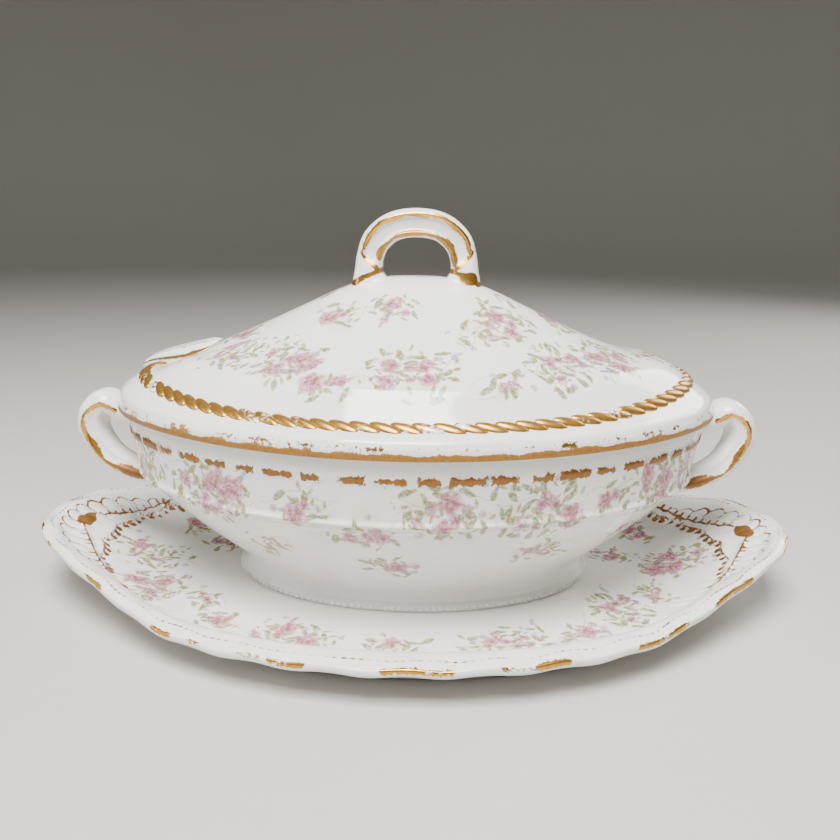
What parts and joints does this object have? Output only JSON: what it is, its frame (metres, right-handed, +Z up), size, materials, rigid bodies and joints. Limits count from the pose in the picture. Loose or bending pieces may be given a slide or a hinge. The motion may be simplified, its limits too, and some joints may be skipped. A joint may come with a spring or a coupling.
{
  "type": "covered soup tureen",
  "caption": "Oval porcelain tureen with loop handles, a domed cover with a loop knob and ladle hood, and an underplate with shell ends.",
  "frame": {"origin": "on the table under the middle of the underplate, at the centre of the underside of its foot ring", "axes": "+Z up, +X along the length towards the right handle, +Y across; the ladle hood is on the -X, +Y side"},
  "size_m": [0.255, 0.162, 0.1288],
  "materials": {
    "glazed_porcelain": "glossy clear glaze over white porcelain, with painted sprays and worn gilding"
  },
  "bodies": {
    "stand": {"underplate": "glazed_porcelain"},
    "tureen": {"bowl": "glazed_porcelain", "bowl_foot": "glazed_porcelain", "handle_left": "glazed_porcelain", "handle_right": "glazed_porcelain"},
    "lid": {"cover": "glazed_porcelain", "cover_handle": "glazed_porcelain", "ladle_hood": "glazed_porcelain"}
  },
  "joints": [
    {"name": "tureen_lift", "type": "slide", "parent": "stand", "child": "tureen", "axis": [0, 0, 1], "range_m": [0, 0.08]},
    {"name": "cover_lift", "type": "slide", "parent": "tureen", "child": "lid", "axis": [0, 0, 1], "range_m": [0, 0.1]}
  ]
}
